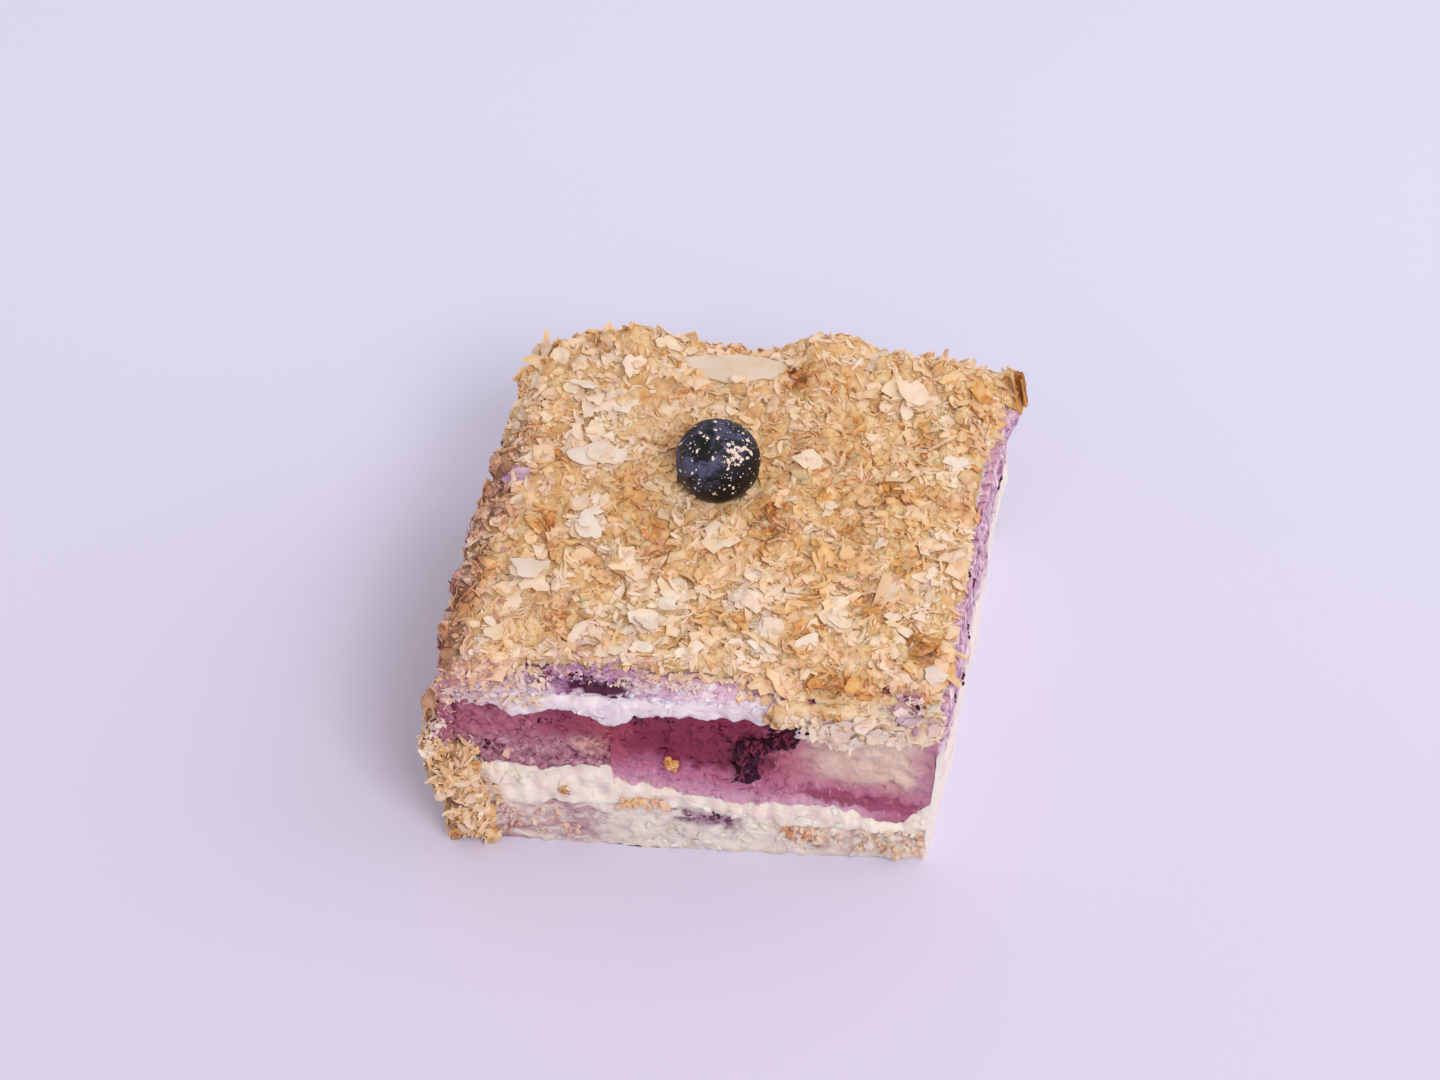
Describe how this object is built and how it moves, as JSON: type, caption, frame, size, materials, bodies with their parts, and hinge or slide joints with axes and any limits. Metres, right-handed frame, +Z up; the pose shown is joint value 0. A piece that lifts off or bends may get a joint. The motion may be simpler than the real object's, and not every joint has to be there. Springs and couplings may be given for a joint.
{
  "type": "square piece of layered berry cake with flaky pastry crumbs",
  "caption": "Square piece of layered cream cake with berry-soaked sponge at the cut face, flaky pastry crumbs on top and a blueberry.",
  "frame": {"origin": "middle of the footprint box, at the height of the surface the cake stands on", "axes": "+Z up; -Y out of the cut face that shows the layers; +X along the cut face, towards the cream-coated side"},
  "size_m": [0.0952, 0.0834, 0.0542],
  "materials": {
    "plain_sponge": "open crumb, matte",
    "white_cream": "soft cream, slight sheen",
    "soaked_sponge_mauve": "moist open crumb",
    "soaked_sponge_magenta": "wet open crumb",
    "upper_white_cream": "soft cream, slight sheen",
    "lilac_cream": "soft cream streaked with berry",
    "side_white_cream": "smoothed cream, slight sheen",
    "crushed_berry_skin": "wet berry skin",
    "flaky_pastry": "baked flaky pastry, matte",
    "berry_skin": "smooth skin with a dull bloom"
  },
  "bodies": {
    "root": {"base_sponge": "plain_sponge", "lower_cream": "white_cream", "berry_sponge_left": "soaked_sponge_mauve", "berry_sponge_right": "soaked_sponge_magenta", "upper_cream": "upper_white_cream", "berry_cream": "lilac_cream", "side_cream": "side_white_cream", "crushed_berry": "crushed_berry_skin", "crumb_coat": "flaky_pastry", "blueberry": "berry_skin"}
  },
  "joints": []
}
